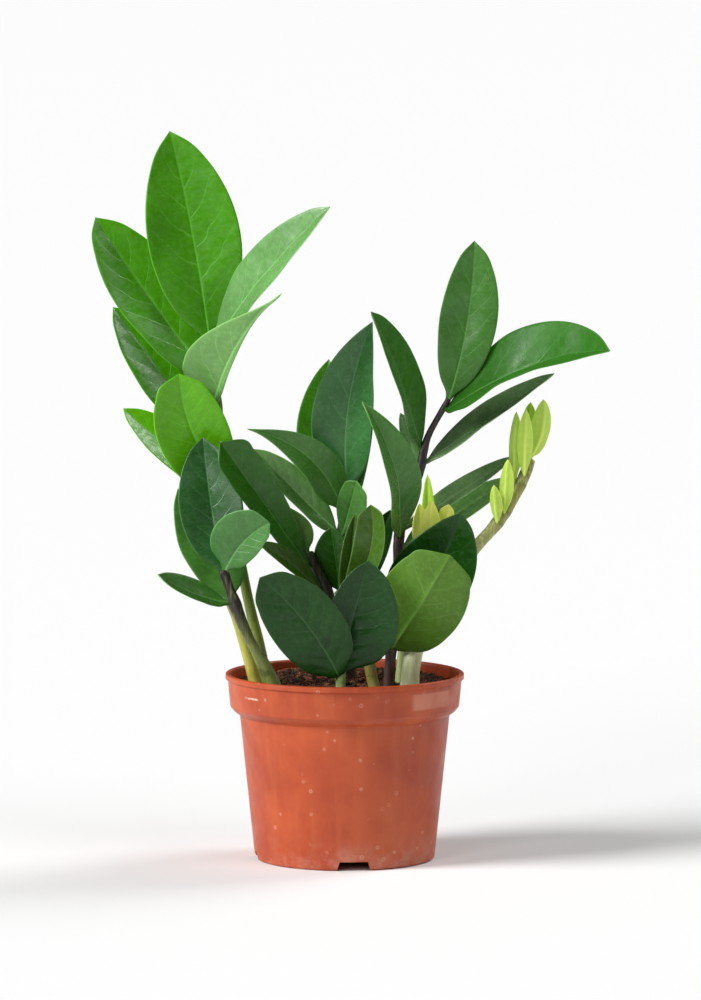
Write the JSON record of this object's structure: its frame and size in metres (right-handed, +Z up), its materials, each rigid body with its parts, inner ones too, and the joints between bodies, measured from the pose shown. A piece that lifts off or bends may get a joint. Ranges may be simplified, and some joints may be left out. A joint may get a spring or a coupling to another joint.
{
  "type": "potted zz plant",
  "caption": "Terracotta-coloured plastic nursery pot of dark potting mix, with fleshy upright stems carrying thick glossy pointed leaflets.",
  "frame": {"origin": "on the floor at the centre of the pot's foot", "axes": "+Z up, front view looks along +Y, +X to the right as seen from the front"},
  "size_m": [0.2586, 0.12, 0.365],
  "materials": {
    "pot": "semi-gloss terracotta-coloured moulding, dusty at the foot",
    "soil": "coarse dark potting mix of peat and bark",
    "stem_tall": "smooth fleshy stalk",
    "stem_yellow": "smooth fleshy stalk",
    "stem_dark": "smooth fleshy stalk",
    "stem_middle_low": "smooth fleshy stalk",
    "stem_middle_high": "smooth fleshy stalk",
    "stem_front": "smooth fleshy stalk",
    "stem_olive": "smooth fleshy stalk",
    "stem_right": "smooth fleshy stalk",
    "stem_bud": "smooth fleshy stalk",
    "stem_shoot": "smooth fleshy stalk",
    "leaf_tall": "thick waxy leaflet, glossy above and duller below",
    "leaf_yellow": "thick waxy leaflet, glossy above and duller below",
    "leaf_dark": "thick waxy leaflet, glossy above and duller below",
    "leaf_middle_low": "thick waxy leaflet, glossy above and duller below",
    "leaf_middle_high": "thick waxy leaflet, glossy above and duller below",
    "leaf_front": "thick waxy leaflet, glossy above and duller below",
    "leaf_olive": "thick waxy leaflet, glossy above and duller below",
    "leaf_right": "thick waxy leaflet, glossy above and duller below",
    "leaf_bud": "thick waxy leaflet, glossy above and duller below",
    "leaf_shoot": "thick waxy leaflet, glossy above and duller below"
  },
  "bodies": {
    "root": {"pot": "pot", "tall_stem": "stem_tall", "yellow_stem": "stem_yellow", "dark_stem": "stem_dark", "middle_low_stem": "stem_middle_low", "middle_high_stem": "stem_middle_high", "front_stem": "stem_front", "olive_stem": "stem_olive", "right_stem": "stem_right", "bud_stem": "stem_bud", "shoot_stem": "stem_shoot", "soil": "soil", "tall_leaf_1": "leaf_tall", "tall_leaf_2": "leaf_tall", "tall_leaf_3": "leaf_tall", "tall_leaf_4": "leaf_tall", "tall_leaf_5": "leaf_tall", "tall_leaf_6": "leaf_tall", "tall_leaf_7": "leaf_tall", "dark_leaf_1": "leaf_dark", "dark_leaf_2": "leaf_dark", "dark_leaf_3": "leaf_dark", "yellow_leaf_1": "leaf_yellow", "middle_low_leaf_1": "leaf_middle_low", "middle_low_leaf_2": "leaf_middle_low", "middle_low_leaf_3": "leaf_middle_low", "middle_high_leaf_1": "leaf_middle_high", "middle_high_leaf_2": "leaf_middle_high", "middle_high_leaf_3": "leaf_middle_high", "middle_high_leaf_4": "leaf_middle_high", "middle_high_leaf_5": "leaf_middle_high", "middle_high_leaf_6": "leaf_middle_high", "middle_high_leaf_7": "leaf_middle_high", "front_leaf_1": "leaf_front", "front_leaf_2": "leaf_front", "olive_leaf_1": "leaf_olive", "olive_leaf_2": "leaf_olive", "olive_leaf_3": "leaf_olive", "right_leaf_1": "leaf_right", "right_leaf_2": "leaf_right", "right_leaf_3": "leaf_right", "right_leaf_4": "leaf_right", "right_leaf_5": "leaf_right", "right_leaf_6": "leaf_right", "right_leaf_7": "leaf_right", "right_leaf_8": "leaf_right", "right_leaf_9": "leaf_right", "right_leaf_10": "leaf_right", "bud_leaf_1": "leaf_bud", "bud_leaf_2": "leaf_bud", "bud_leaf_3": "leaf_bud", "bud_leaf_4": "leaf_bud", "shoot_leaf_1": "leaf_shoot", "shoot_leaf_2": "leaf_shoot", "shoot_leaf_3": "leaf_shoot", "shoot_leaf_4": "leaf_shoot", "shoot_leaf_5": "leaf_shoot", "shoot_leaf_6": "leaf_shoot"}
  },
  "joints": []
}
